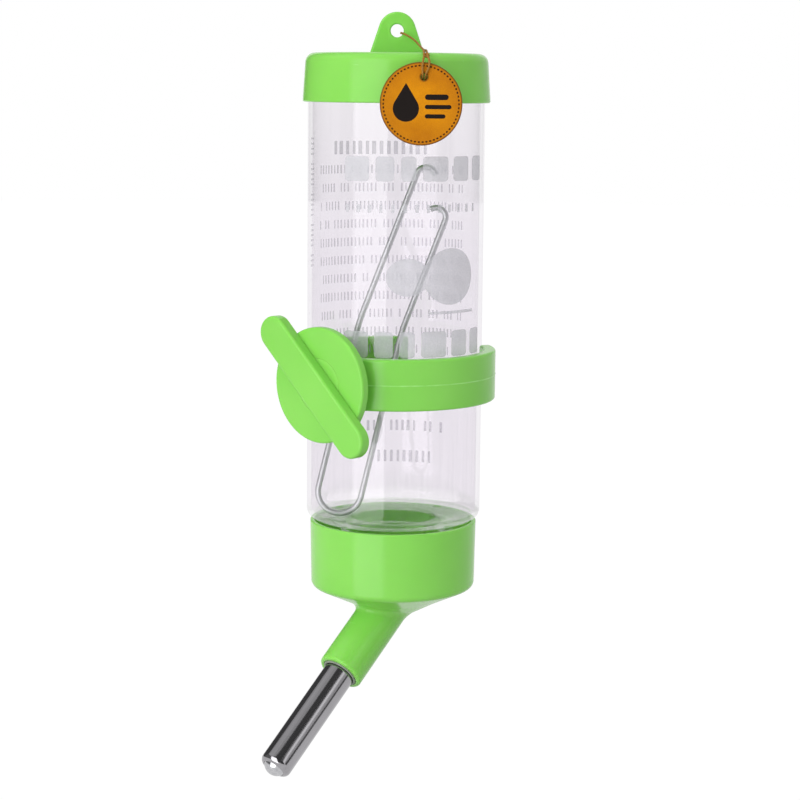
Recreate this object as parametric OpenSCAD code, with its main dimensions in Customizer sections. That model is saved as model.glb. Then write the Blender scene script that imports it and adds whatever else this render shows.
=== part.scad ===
/* [Bottle] */
// Outside diameter of the clear bottle
bottle_d = 44; // [40:1:50]
// Wall thickness of the clear bottle
bottle_wall = 1.1; // [0.9:0.1:1.5]
// Height of the bottle's top lip above the clamp stud
bottle_top = 77.8; // [75:0.1:85]
// Height of the bottle's shoulder, which is below the clamp stud
shoulder_z = -36.4; // [-42:0.1:-36]
// Radius of the rounding between the wall and the shoulder
shoulder_r = 2.4; // [1.8:0.1:3.2]

/* [Neck and thread] */
// Outside diameter of the bottle's neck
neck_d = 24.6; // [24:0.2:25]
// Diameter over the neck's thread
thread_d = 26.6; // [26.4:0.1:26.8]
// Travel of the screw cap for one turn
lead = 4; // [3.8:0.1:4.2]
// Turns of thread on the neck
turns = 1.5; // [1.3:0.1:1.6]

/* [Top cap] */
// Diameter of the top cap at its lower rim
cap_d = 46.6; // [46:0.2:48]
// Height of the top cap
cap_h = 12; // [11:0.5:13]
// Diameter of the hole in the hanging tab
eye_d = 3.2; // [3:0.1:3.4]
// Height of the hanging hole above the top of the cap
eye_rise = 5.5; // [5:0.5:6]
// Angle between the tab's face and the spout, about the bottle
tab_turn = 40; // [0:5:60]

/* [Holder] */
// Outside diameter of the clip ring
ring_d = 51; // [50:0.5:51.4]
// Height of the clip ring
ring_h = 12.6; // [11:0.2:14]
// Angle left open at the back of the clip ring
ring_gap = 70; // [60:1:80]
// Diameter of the clamp disc
disc_d = 28.4; // [26:0.2:30]
// Thickness of the clamp disc
disc_t = 2.4; // [2.2:0.1:2.5]
// Length of the wing bar over its round ends
wing_l = 43; // [38:1:46]
// Width of the wing bar
wing_w = 8.4; // [7.5:0.1:9]
// Lean of the wing bar from upright when the clamp is closed
wing_lean = 46; // [0:1:90]

/* [Screw cap and spout] */
// Diameter of the screw cap at its upper rim
cup_d = 42.2; // [41:0.2:43]
// Height of the screw cap's straight side
cup_h = 16.2; // [15.8:0.1:17]
// Angle of the spout from straight down
spout_angle = 52; // [45:1:55]
// Outside diameter of the spout's plastic neck
snout_d = 11.6; // [11.2:0.2:12]
// Distance along the spout from the bottle's axis to the end of the plastic neck
snout_l = 25.8; // [24:0.2:28]
// Outside diameter of the steel drinking tube
tube_d = 8; // [7.9:0.05:8.05]
// Distance along the spout from the bottle's axis to the end of the steel tube
tube_end = 56.4; // [50:0.2:60]
// Diameter of the two valve balls
ball_d = 6.35; // [6.3:0.05:6.4]

/* [Tag] */
// Diameter of the hang tag
tag_d = 19.6; // [18:0.2:20]
// Thickness of the hang tag
tag_t = 1; // [0.8:0.1:1.2]
// Diameter of the tag's string
cord_d = 0.5; // [0.4:0.1:0.7]

/* [Hidden] */
$fn = 96;
eps = 0.01;
// How far pieces of one solid run into each other
sink = 0.3;
// Small bevels on rims and corners
edge = 0.3;

// The origin is where the stud's axis meets the face of the clip's pad, which bears on the cage.
// The bottle's axis stands this far behind it.
pad_reach = 26.2;
green = [0.45, 0.83, 0.28];

// Bottle
bottle_r = bottle_d / 2;
bottle_in = bottle_r - bottle_wall;
neck_r = neck_d / 2;
neck_in = 10.5;
neck_lip = shoulder_z - 15.6;
shoulder_drop = 1;
bead_r = neck_r + 1.1;
bead_z = shoulder_z - 3.7;
bead_h = 1.5;
neck_fillet = 0.4;
foot = [2.2, 1.8, 1.3];
foot_at = [0, -18.2, shoulder_z - 0.7];

// Thread
thread_r = thread_d / 2;
ridge_base = 0.95;
ridge_crest = 0.4;
ridge_root = 0.35;
ridge_end = 0.15;
thread_start = 200;
thread_z = neck_lip + 1.6;
cap_turns = 1.1;
flank_gap = 1.3;
sleeve_in = thread_r + 0.5;
sleeve_out = sleeve_in + 1.4;
sleeve_top = bead_z - 1.8;
sleeve_crest = neck_r + 0.45;
run_out = 30;

// Top cap
cap_r = cap_d / 2;
cap_top = bottle_top + 2.2;
cap_rim = cap_top - cap_h;
cap_draft = 0.8;
cap_round = 2.4;
cap_plate = 1.6;
cap_slot = 0.1;
plug_t = 1.3;
plug_l = 6;
plug_bevel = 0.6;
rim_round = 0.35;
tab_t = 2.2;
tab_foot = 6.7;
tab_r = 4.6;
eye_z = cap_top + eye_rise;

// Holder
ring_r = ring_d / 2;
ring_in = bottle_r + 0.5;
ring_z = 0.5;
ring_edge = 0.5;
ring_end = 0.1;
pad_w = 15;
stud_r = 3.3;
stud_core = 2.5;
stud_l = 4.4;
stud_lead = 2.4;
stud_ridge = 0.55;
stud_crest = 0.2;
stud_turns = (stud_l - 2 * stud_ridge) / stud_lead;
disc_gap = 0.1;
disc_hole = 5.6;
disc_edge = 0.4;
hub_r = disc_hole - 0.08;
hub_face = disc_gap + disc_t + 0.02;
hub_face_r = 6.6;
hub_step = 0.7;
wing_t = 3.1;
hub_end = 0.35;
hub_bore = stud_r + 0.15;
hub_depth = stud_l + 0.3;
hub_crest = 2.65;
// Where the hub's ridge starts round the stud
hub_start = 280;

// Screw cap and spout
cup_r = cup_d / 2;
cup_rim = shoulder_z - 0.7;
cup_wall = 1.1;
cup_draft = 0.3;
cup_round = 1.7;
cup_fillet = 0.4;
cone_slope = 24.5;
boss_slope = 27.5;
boss_r = 12.2;
boss_tip = 3.4;
tip_drop = 0.8;
gasket_t = 1.4;
gasket_gap = 0.04;
gasket_r = sleeve_in - 0.25;
ledge_z = neck_lip - gasket_t - 2 * gasket_gap;
ledge_hole = 8.8;
moat_z = ledge_z + 0.8;
// The funnel below the ledge and the passage that leads it into the spout
funnel_r = 4.6;
funnel_h = 4.2;
throat_r = 3.4;
cross_z = shoulder_z - 21.35;
snout_r = snout_d / 2;
bush_in = tube_d / 2 + 0.03;
bush_out = bush_in + 0.55;
snout_bore = bush_out + 0.03;
snout_bevel = 0.25;
snout_round = 0.7;
bore_start = 9;
tube_start = 9.5;
bush_start = 12;
bush_lip = 0.25;
tube_wall = 0.5;
tube_roll = 1.4;
groove = 0.25;
groove_w = 1.2;
groove_end = snout_l + bush_lip + 0.05;
tip_r = 2.78;
tip_land = 0.12;
tip_bevel = 0.25;
ball_r = ball_d / 2;
ball_gap = 0.05;
ball_seat = tube_end - tip_land - sqrt(ball_r * ball_r - tip_r * tip_r) - 0.02;

// Hanger wire, a hairpin stored inside the bottle
wire_r = 0.75;
wire_bend = 5.5;
wire_low = 43;
wire_kink = 7.5;
leg_long = 40;
leg_short = 30;
hook_r = 2.4;
hook_sweep = 150;
elbow = 0.03;
// Where the hairpin's bend lies and how it leans, in the tab's own frame
wire_at = [-13.5, -4.3, shoulder_z + 6.9];
wire_lean = [-7.3, 13.5, 0];

// Tag, in the tab's own frame: x along the tab, -y out of its face
tag_at = [5.8, -24.3, cap_rim - 0.1];
tag_hole = [6.45, tag_at[1], 74.2];
tag_hole_r = 0.8;
// The string, from the hanging hole forward to the tag, through its hole and back to the rear of the tab
cord_route = [
    [0.95, -0.1, 84.9], [1.05, -1.1, 84.95], [1.9, -2.6, 84.6], [4.0, -9.0, 83.2], [5.7, -17.0, 81.3],
    [6.3, -20.6, 80.5], [6.4, -23.5, 79.6], [6.35, -24.6, 79.0], [6.2, -25.2, 78.2], [6.05, -25.4, 77.3],
    [6.05, -25.4, 75.5], [6.1, -25.05, 74.85], [6.1, -24.3, 74.2], [6.05, -23.6, 73.55], [5.7, -23.25, 72.9],
    [5.35, -23.2, 72.3], [5.3, -23.2, 71.6], [5.85, -23.2, 70.9], [7.05, -23.2, 70.9], [7.6, -23.2, 71.6],
    [7.55, -23.2, 72.3], [7.2, -23.25, 72.9], [6.85, -23.6, 73.55], [6.8, -24.3, 74.2], [6.85, -25.05, 74.85],
    [7.1, -25.4, 75.5], [7.6, -25.4, 76.8], [7.6, -25.2, 78.2], [7.3, -24.6, 79.0], [7.15, -23.6, 79.6],
    [7.1, -22.4, 80.0], [7.0, -20.6, 80.4], [6.9, -11.0, 80.6], [7.1, -1.4, 80.6], [7.0, 0.9, 80.7],
    [6.3, 1.9, 81.2], [2.8, 2.1, 84.0], [1.6, 1.8, 84.7], [1.05, 1.1, 84.95], [0.95, 0.1, 84.9]];
cord_sides = 8;

// Points along an arc of a profile, from angle a0 to a1
function arc(x, y, r, a0, a1, n = 8) =
    [for (i = [0:n]) let (a = a0 + (a1 - a0) * i / n) [x + r * cos(a), y + r * sin(a)]];

// How far a thread's ridge has risen, from 0 at its ends to 1 along its length
function rise(a, whole) = min(1, a / run_out, (whole - a) / run_out);

// The same faces, seen from their other side
function backward(faces) = [for (f = faces) [for (k = [len(f) - 1:-1:0]) f[k]]];

// Faces that join rings of n points, with both ends closed
function tube_faces(rings, n) = concat(
    [[for (k = [0:n - 1]) n - 1 - k]],
    [for (i = [0:rings - 2], k = [0:n - 1])
        [i * n + k, i * n + (k + 1) % n, (i + 1) * n + (k + 1) % n, (i + 1) * n + k]],
    [[for (k = [0:n - 1]) (rings - 1) * n + k]]);

// A right-hand helical ridge about +z. It stands from the wall out to the crest, and its ends run out
// below the wall. A crest inside the wall makes a female thread.
module ridge(wall, crest, pitch, wind, base, tip, steps = 40) {
    whole = 360 * wind;
    rings = ceil(steps * wind) + 1;
    out = crest > wall ? 1 : -1;
    root = wall - ridge_root * out;
    low = wall - ridge_end * out;
    points = [for (i = [0:rings - 1])
        let (a = whole * i / (rings - 1), top = low + (crest - low) * rise(a, whole))
        for (p = [[root, -base], [top, -tip], [top, tip], [root, base]])
            [p[0] * cos(a), p[0] * sin(a), pitch * a / 360 + p[1]]];
    faces = tube_faces(rings, 4);
    polyhedron(points, out > 0 ? faces : backward(faces), convexity = 6);
}

module on_bottle_axis() { translate([0, pad_reach, 0]) children(); }
module on_tab() { on_bottle_axis() rotate(tab_turn) children(); }
module along_spout(start = 0) {
    on_bottle_axis() translate([0, 0, cross_z]) rotate([180 - spout_angle, 0, 0])
        translate([0, 0, start]) children();
}

// Clear bottle: an open-topped tube that turns in at a round shoulder to a threaded neck
module bottle_body() {
    inner_r = shoulder_r - bottle_wall;
    floor_z = shoulder_z + bottle_wall;
    neck_z = shoulder_z - shoulder_drop;
    inside_z = floor_z - shoulder_drop;
    wall_profile = concat(
        [[bottle_in, bottle_top], [bottle_r, bottle_top]],
        arc(bottle_r - shoulder_r, shoulder_z + shoulder_r, shoulder_r, 0, -90, 10),
        [[neck_r + neck_fillet, neck_z], [neck_r, neck_z - neck_fillet], [neck_r, neck_lip + edge],
         [neck_r - edge, neck_lip], [neck_in, neck_lip], [neck_in, inside_z - neck_fillet],
         [neck_in + neck_fillet, inside_z]],
        arc(bottle_in - inner_r, floor_z + inner_r, inner_r, -90, 0, 8));
    color([0.93, 0.93, 0.96, 0.35]) on_bottle_axis() {
        rotate_extrude() polygon(wall_profile);
        translate([0, 0, bead_z - bead_h / 2]) difference() {
            cylinder(r = bead_r, h = bead_h);
            translate([0, 0, -1]) cylinder(r = neck_r - sink, h = bead_h + 2);
        }
        translate([0, 0, thread_z]) rotate(thread_start)
            ridge(neck_r, thread_r, lead, turns, ridge_base, ridge_crest);
        for (quarter = [0 : 3]) rotate(90 * quarter) translate(foot_at) cube(foot, center = true);
    }
}

// Push-on top cap with its plug ring and hanging tab
module top_cap() {
    ceiling = cap_top - cap_plate;
    plug_r = bottle_in - cap_slot;
    shell = concat(
        [[0, cap_top], [0, ceiling], [plug_r - plug_t, ceiling], [plug_r - plug_t, ceiling - plug_l],
         [plug_r - edge, ceiling - plug_l], [plug_r, ceiling - plug_l + plug_bevel], [plug_r, ceiling],
         [bottle_r + cap_slot, ceiling], [bottle_r + cap_slot, cap_rim]],
        arc(cap_r - rim_round, cap_rim + rim_round, rim_round, -90, 0, 3),
        arc(cap_r - cap_draft - cap_round, cap_top - cap_round, cap_round, 0, 90, 10));
    // where the tab's straight side meets its round top
    slant = acos(tab_r / norm([tab_foot, eye_rise])) - atan2(eye_rise, tab_foot);
    side = [tab_r * cos(slant), eye_z + tab_r * sin(slant)];
    color(green) {
        on_bottle_axis() rotate_extrude() polygon(shell);
        on_tab() difference() {
            translate([0, tab_t / 2, 0]) rotate([90, 0, 0]) linear_extrude(tab_t) {
                translate([0, eye_z]) circle(tab_r);
                polygon([[-tab_foot, cap_top - sink], [tab_foot, cap_top - sink], [tab_foot, cap_top],
                         [side[0], side[1]], [-side[0], side[1]], [-tab_foot, cap_top]]);
            }
            translate([0, 0, eye_z]) rotate([90, 0, 0]) cylinder(d = eye_d, h = 3 * tab_t, center = true);
        }
    }
}

// Hairpin of hooked wire that lies in the bottle until it is bent round it
module hanger_wire() {
    module straight(length) { cylinder(r = wire_r, h = length, $fn = 24); }
    module bend(r, sweep) {
        rotate([90, 0, 0]) rotate_extrude(angle = sweep) translate([r, 0]) circle(wire_r, $fn = 24);
    }
    module leg(side, length) {
        translate([side * wire_bend, 0, 0]) {
            straight(wire_low);
            translate([0, 0, wire_low]) {
                sphere(r = wire_r + elbow, $fn = 24);
                rotate([0, wire_kink, 0]) {
                    straight(length);
                    translate([-side * hook_r, 0, length]) rotate(side < 0 ? 180 : 0)
                        bend(hook_r, hook_sweep);
                }
            }
        }
    }
    color("silver") on_tab() translate(wire_at) rotate(wire_lean) {
        rotate([180, 0, 0]) bend(wire_bend, 180);
        leg(-1, leg_long);
        leg(1, leg_short);
    }
}

// Spring clip ring, open at the back, with a flat pad and a threaded stud in front
module ring_clip() {
    half_gap = ring_gap / 2;
    mid_r = (ring_r + ring_in) / 2;
    top = ring_z + ring_h / 2;
    low = ring_z - ring_h / 2;
    band = [[ring_in, low + ring_edge], [ring_in + ring_edge, low], [ring_r - ring_edge, low],
            [ring_r, low + ring_edge], [ring_r, top - ring_edge], [ring_r - ring_edge, top],
            [ring_in + ring_edge, top], [ring_in, top - ring_edge]];
    wedge_x = 2 * ring_r * sin(half_gap);
    wedge_y = 2 * ring_r * cos(half_gap);
    color(green) {
        difference() {
            union() {
                on_bottle_axis() rotate_extrude() polygon(band);
                translate([-pad_w / 2, 0, low + ring_edge])
                    cube([pad_w, pad_reach - ring_in, ring_h - 2 * ring_edge]);
            }
            on_bottle_axis() translate([0, 0, -ring_h]) cylinder(r = ring_in, h = 2 * ring_h);
            on_bottle_axis() translate([0, 0, -ring_h]) linear_extrude(2 * ring_h)
                polygon([[0, 0], [wedge_x, wedge_y], [-wedge_x, wedge_y]]);
        }
        for (side = [-1, 1]) on_bottle_axis() rotate(side * half_gap)
            translate([0, mid_r, low + ring_edge + ring_end])
                cylinder(r = (ring_r - ring_in) / 2 - ring_end, h = ring_h - 2 * (ring_edge + ring_end));
        rotate([90, 0, 0]) translate([0, 0, -sink]) cylinder(r = stud_core, h = stud_l + sink);
        rotate([90, 0, 0]) translate([0, 0, stud_ridge])
            ridge(stud_core, stud_r, stud_lead, stud_turns, stud_ridge, stud_crest);
    }
}

// Loose disc that bears on the cage, with a recess for the hub's flange
module clamp_disc() {
    r = disc_d / 2;
    seat_r = hub_face_r + 0.08;
    color(green) rotate([90, 0, 0]) translate([0, 0, disc_gap]) rotate_extrude()
        polygon([[disc_hole, 0], [r - disc_edge, 0], [r, disc_edge], [r, disc_t - disc_edge],
                 [r - disc_edge, disc_t], [seat_r, disc_t], [seat_r, disc_t - hub_step],
                 [disc_hole, disc_t - hub_step]]);
}

// Bar that is turned by hand; its hub screws onto the stud through the disc
module wing_bar() {
    end_x = wing_l / 2 - wing_w / 2;
    // the hub's ridge runs midway between the turns of the stud's
    ridge_z = stud_ridge + stud_lead * (hub_start / 360 - 0.5);
    color(green) rotate([90, 0, 0]) {
        difference() {
            union() {
                rotate(wing_lean) translate([0, 0, hub_face]) {
                    translate([-wing_w / 2, -end_x, 0]) cube([wing_w, 2 * end_x, wing_t]);
                    for (side = [-1, 1]) translate([0, side * end_x, 0]) cylinder(d = wing_w, h = wing_t);
                }
                translate([0, 0, hub_face - hub_step]) cylinder(r = hub_face_r, h = hub_step);
                translate([0, 0, hub_end]) cylinder(r = hub_r, h = hub_face - hub_end);
                intersection() {
                    cylinder(r = hub_face_r, h = hub_depth);
                    rotate(wing_lean) translate([0, 0, hub_face])
                        cube([wing_w, 2 * hub_face_r, 2 * sink], center = true);
                }
            }
            translate([0, 0, -1]) cylinder(r = hub_bore, h = hub_depth + 1);
        }
        translate([0, 0, ridge_z]) rotate(hub_start)
            ridge(hub_bore, hub_crest, stud_lead, 1, stud_ridge, stud_crest);
    }
}

// Screw cap: deep outer skirt, threaded inner sleeve and a funnel that runs into the angled spout neck
module spout_cap() {
    low_r = cup_r - cup_draft;
    side_end = cup_rim - cup_h + cup_fillet;
    corner = [low_r - cup_round, side_end];
    cone_start = [corner[0] + cup_round * sin(cone_slope), corner[1] - cup_round * cos(cone_slope)];
    boss_z = cone_start[1] - (cone_start[0] - boss_r) * tan(cone_slope);
    tip_z = boss_z - (boss_r - boss_tip) * tan(boss_slope);
    outside = concat(
        [[0, cup_rim], [cup_r - edge, cup_rim], [cup_r, cup_rim - edge]],
        arc(corner[0], corner[1], cup_round, 0, -90 + cone_slope, 8),
        [[boss_r, boss_z], [boss_tip, tip_z], [0, tip_z - tip_drop]]);
    color(green) {
        difference() {
            union() {
                on_bottle_axis() rotate_extrude() polygon(outside);
                along_spout() rotate_extrude()
                    polygon([[0, 0], [snout_r, 0], [snout_r, snout_l - 3 * snout_bevel],
                             [snout_r - snout_bevel, snout_l - snout_bevel],
                             [snout_r - snout_round, snout_l], [0, snout_l]]);
            }
            on_bottle_axis() {
                rotate_extrude() polygon([[sleeve_out, moat_z], [low_r - cup_wall, moat_z],
                                          [cup_r - cup_wall, cup_rim + 1], [0, cup_rim + 1], [0, sleeve_top],
                                          [sleeve_out, sleeve_top]]);
                translate([0, 0, ledge_z]) cylinder(r = sleeve_in, h = cup_h);
                translate([0, 0, ledge_z - funnel_h])
                    cylinder(r1 = funnel_r, r2 = ledge_hole, h = funnel_h + eps);
            }
            along_spout(-1) cylinder(r = throat_r, h = bore_start + 2);
            along_spout(bore_start) cylinder(r = snout_bore, h = snout_l);
        }
        on_bottle_axis() translate([0, 0, thread_z + flank_gap]) rotate(200)
            ridge(sleeve_in, sleeve_crest, lead, cap_turns, ridge_base, ridge_crest);
    }
}

// Soft washer between the bottle's lip and the screw cap
module cap_gasket() {
    color("dimgray") on_bottle_axis() translate([0, 0, ledge_z + gasket_gap]) difference() {
        cylinder(r = gasket_r, h = gasket_t);
        translate([0, 0, -1]) cylinder(r = ledge_hole, h = gasket_t + 2);
    }
}

// Soft sleeve that seals the steel tube in the spout neck
module tube_bush() {
    color("gainsboro") along_spout(bush_start) difference() {
        cylinder(r = bush_out, h = snout_l + bush_lip - bush_start);
        translate([0, 0, -1]) cylinder(r = bush_in, h = snout_l);
    }
}

// Steel tube, rolled in at its tip to hold the balls, with a shallow groove rolled where the seal ends
module drinking_tube() {
    r = tube_d / 2;
    groove_start = groove_end - groove_w;
    outside = [[0, groove_start], [-groove, groove_start + groove],
               [-groove, groove_end - groove], [0, groove_end]];
    profile = concat(
        [[r - tube_wall, tube_start], [r, tube_start]],
        [for (p = outside) p + [r, 0]],
        arc(r - tube_roll, tube_end - tube_roll, tube_roll, 0, 80, 6),
        [[tip_r, tube_end], [tip_r, tube_end - tip_land],
         [tip_r + tip_bevel, tube_end - tube_wall], [r - tube_wall, tube_end - tube_roll - tip_bevel]],
        [for (i = [3 : -1 : 0]) outside[i] + [r - tube_wall, 0]]);
    color("silver") along_spout() rotate_extrude() polygon(profile);
}

module valve_ball() { color("lightgray") along_spout(ball_seat) sphere(r = ball_r); }
module upper_ball() { color("lightgray") along_spout(ball_seat - ball_d - ball_gap) sphere(r = ball_r); }

// Round leather tag
module hang_tag() {
    color([0.85, 0.5, 0.1]) on_tab() difference() {
        translate(tag_at) rotate([90, 0, 0]) cylinder(d = tag_d, h = tag_t, center = true);
        translate(tag_hole) rotate([90, 0, 0]) cylinder(r = tag_hole_r, h = 3 * tag_t, center = true);
    }
}

// The tag's string: a tube swept along its route, with each ring square to the path
module tag_cord() {
    n = len(cord_route);
    unit = function (v) v / norm(v);
    along = [for (i = [0:n - 1]) unit(cord_route[min(i + 1, n - 1)] - cord_route[max(i - 1, 0)])];
    // a side vector carried along the route without twist
    side = [for (i = 0, s = unit(cross(along[0], [0, 0, 1])); i < n;
        i = i + 1, s = i < n ? unit(s - (s * along[i]) * along[i]) : s) s];
    rings = [for (i = [0:n - 1], k = [0:cord_sides - 1])
        let (a = 360 * k / cord_sides, up = cross(along[i], side[i]))
        cord_route[i] + cord_d / 2 * (cos(a) * side[i] + sin(a) * up)];
    color([0.75, 0.5, 0.25]) on_tab()
        polyhedron(rings, backward(tube_faces(n, cord_sides)), convexity = 10);
}

bottle_body();
top_cap();
hanger_wire();
ring_clip();
clamp_disc();
wing_bar();
spout_cap();
cap_gasket();
tube_bush();
drinking_tube();
valve_ball();
upper_ball();
hang_tag();
tag_cord();
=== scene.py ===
import math

import bmesh
import bpy
import numpy as np
from mathutils import Matrix, Vector


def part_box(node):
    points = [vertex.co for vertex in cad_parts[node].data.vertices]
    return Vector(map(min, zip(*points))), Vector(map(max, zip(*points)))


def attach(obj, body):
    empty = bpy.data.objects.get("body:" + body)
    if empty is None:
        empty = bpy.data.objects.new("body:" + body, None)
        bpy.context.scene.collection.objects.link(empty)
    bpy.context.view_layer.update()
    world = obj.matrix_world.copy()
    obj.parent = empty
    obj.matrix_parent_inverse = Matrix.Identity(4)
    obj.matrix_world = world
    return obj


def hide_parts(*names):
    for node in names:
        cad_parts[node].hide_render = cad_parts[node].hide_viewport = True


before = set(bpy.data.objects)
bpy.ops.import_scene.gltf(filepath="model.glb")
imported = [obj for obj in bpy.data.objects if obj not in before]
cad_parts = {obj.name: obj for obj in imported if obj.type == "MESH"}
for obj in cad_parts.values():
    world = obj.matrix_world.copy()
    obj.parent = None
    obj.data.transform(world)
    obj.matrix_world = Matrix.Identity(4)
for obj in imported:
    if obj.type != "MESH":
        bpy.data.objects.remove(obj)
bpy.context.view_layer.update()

# ---- Sizes, in millimetres. The frame gives the places; what it doesn't say is named here. ----
MM = 0.001
PI = math.pi


def span(node):
    """A CAD node's lowest and highest corners, in millimetres."""
    low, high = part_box(node)
    return low / MM, high / MM


bottle_low, bottle_high = span("bottle_body")
cap_low, cap_high = span("top_cap")
ring_low, ring_high = span("ring_clip")
disc_low, disc_high = span("clamp_disc")
wing_low = span("wing_bar")[0]
cup_low, cup_high = span("spout_cap")
gasket_low, gasket_high = span("cap_gasket")
ball_low, ball_high = span("valve_ball")
upper_low, upper_high = span("upper_ball")

axis_y = (bottle_low.y + bottle_high.y) / 2
bottle_r = (bottle_high.x - bottle_low.x) / 2
bottle_wall = 1.1
bottle_in = bottle_r - bottle_wall
bottle_top = bottle_high.z
neck_lip = bottle_low.z
shoulder_z = neck_lip + 15.6
neck_r = 12.3
neck_in = 10.5
bead_r, bead_z, bead_half = 13.4, shoulder_z - 3.7, 0.75
foot_w, foot_d, foot_h, foot_reach = 2.2, 1.8, 1.3, 18.2
thread_lead, thread_turns, thread_r = 4.0, 1.5, 13.3
thread_z, thread_start = neck_lip + 1.6, math.radians(200)
thread_half, thread_tip = 0.95, 0.4

cap_r = (cap_high.x - cap_low.x) / 2
cap_rim = cap_low.z
cap_top = cap_rim + 12
tab_turn = math.radians(40)
tab_t, tab_foot, tab_r = 2.2, 6.7, 4.6
eye_z, eye_r = cap_high.z - tab_r, 1.6

ring_mid = 24.0
ring_half_t = 1.5
ring_gap = math.radians(35)
pad_w, pad_t = 15.0, 3.0
stud_core, stud_r, stud_l, stud_lead = 2.5, 3.3, 4.4, 2.4
stud_z, stud_turns, stud_half, stud_tip = 0.55, 1.375, 0.55, 0.2

disc_r = (disc_high.x - disc_low.x) / 2
disc_hole = 5.6
wing_l, wing_w, wing_t = 43.0, 8.4, 3.1
wing_lean = math.radians(46)
wing_front = -wing_low.y
hub_r, hub_face_r, hub_face, hub_step, hub_end, hub_bore, hub_depth = 5.52, 6.6, 2.52, 0.7, 0.35, 3.45, 4.7

cup_r = (cup_high.x - cup_low.x) / 2
cup_rim = cup_high.z
cup_wall = 1.1
ledge_z = neck_lip - 1.48
sleeve_in, sleeve_out, sleeve_top = 13.8, 15.2, shoulder_z - 5.5
spout_angle = math.radians(52)
cross_z = shoulder_z - 21.35
snout_r, snout_l, snout_bore = 5.8, 25.8, 4.61
tube_r, tube_wall, tube_start, tube_end, tube_mouth, tube_roll = 4.0, 0.5, 9.5, 56.4, 2.78, 1.4
bush_end = snout_l + 0.25
ball_r = (ball_high.x - ball_low.x) / 2

wire_r, wire_bend, wire_low, wire_kink = 0.75, 5.5, 43.0, math.radians(7.5)
leg_long, leg_short, hook_r, hook_sweep = 40.0, 30.0, 2.4, math.radians(150)

tag_r, tag_t = 9.8, 1.0
tag_at = Vector((5.8, -24.3, cap_rim - 0.1))
tag_hole, tag_hole_r = Vector((6.45, -24.3, 74.2)), 0.8
string_r = 0.25

on_axis = Matrix.Translation((0, axis_y, 0))
on_tab = on_axis @ Matrix.Rotation(tab_turn, 4, "Z")
on_spout = on_axis @ Matrix.Translation((0, 0, cross_z)) @ Matrix.Rotation(PI - spout_angle, 4, "X")
on_stud = Matrix.Rotation(PI / 2, 4, "X")

# ---- Camera ----
camera_reach, camera_rise = 530.74, 5.045
camera_pitch, camera_roll, camera_yaw = math.radians(8.54), math.radians(0.515), math.radians(0.163)
camera_lens, camera_sensor = 95.364, 36

camera_data = bpy.data.cameras.new("photo_camera")
camera_data.sensor_width = camera_sensor
camera_data.lens = camera_lens
camera_data.clip_start = 0.02
camera = bpy.data.objects.new("photo_camera", camera_data)
bpy.context.scene.collection.objects.link(camera)
camera.matrix_world = (
    Matrix.Translation(Vector((camera_reach * math.sin(tab_turn),
                               axis_y - camera_reach * math.cos(tab_turn), cap_rim + camera_rise)) * MM)
    @ Matrix.Rotation(tab_turn - camera_yaw, 4, "Z")
    @ Matrix.Rotation(PI / 2 - camera_pitch, 4, "X")
    @ Matrix.Rotation(camera_roll, 4, "Z"))
bpy.context.scene.camera = camera

# ---- Mesh tools. A shell is (points, faces), in millimetres. ----


def arc(x, y, r, a0, a1, n):
    return [(x + r * math.cos(a0 + (a1 - a0) * i / n), y + r * math.sin(a0 + (a1 - a0) * i / n))
            for i in range(n + 1)]


def rounded(corners, n=5):
    """A closed outline of (x, y, radius) corners, each rounded to its radius."""
    out = []
    count = len(corners)
    for i, corner in enumerate(corners):
        p = Vector(corner[:2])
        radius = corner[2] if len(corner) > 2 else 0
        u = (Vector(corners[i - 1][:2]) - p).normalized()
        v = (Vector(corners[(i + 1) % count][:2]) - p).normalized()
        half = u.angle(v) / 2
        if radius == 0 or half > PI / 2 - 0.01:
            out.append(tuple(p))
            continue
        centre = p + (u + v).normalized() * radius / math.sin(half)
        start = p + u * radius / math.tan(half) - centre
        end = p + v * radius / math.tan(half) - centre
        a0 = math.atan2(start.y, start.x)
        sweep = (math.atan2(end.y, end.x) - a0 + PI) % (2 * PI) - PI
        out += arc(centre.x, centre.y, radius, a0, a0 + sweep, n)
    return out


def box_corners(half_w, half_h, radius):
    """The corners of a rectangle about the middle, all rounded alike."""
    return [(-half_w, -half_h, radius), (half_w, -half_h, radius), (half_w, half_h, radius),
            (-half_w, half_h, radius)]


def lathe(profile, steps=144, wave=None):
    """A closed profile of (radius, height) points turned about z. wave(r, z, angle) may change a radius."""
    points, rings = [], []
    for r, z in profile:
        if r < 1e-6:
            rings.append([len(points)])
            points.append((0, 0, z))
            continue
        rings.append(list(range(len(points), len(points) + steps)))
        for k in range(steps):
            a = 2 * PI * k / steps
            q = wave(r, z, a) if wave else r
            points.append((q * math.cos(a), q * math.sin(a), z))
    faces = []
    for i, ring in enumerate(rings):
        other = rings[(i + 1) % len(rings)]
        for k in range(steps):
            m = (k + 1) % steps
            if len(ring) == 1 and len(other) == 1:
                break
            if len(ring) == 1:
                faces.append((ring[0], other[m], other[k]))
            elif len(other) == 1:
                faces.append((ring[k], ring[m], other[0]))
            else:
                faces.append((ring[k], ring[m], other[m], other[k]))
    return points, faces


def loft(rings):
    """Rings of the same number of points joined one to the next, with both ends closed."""
    n = len(rings[0])
    points = [tuple(p) for ring in rings for p in ring]
    faces = [tuple(range(n - 1, -1, -1)), tuple((len(rings) - 1) * n + k for k in range(n))]
    for i in range(len(rings) - 1):
        for k in range(n):
            m = (k + 1) % n
            faces.append((i * n + k, i * n + m, (i + 1) * n + m, (i + 1) * n + k))
    return points, faces


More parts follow.
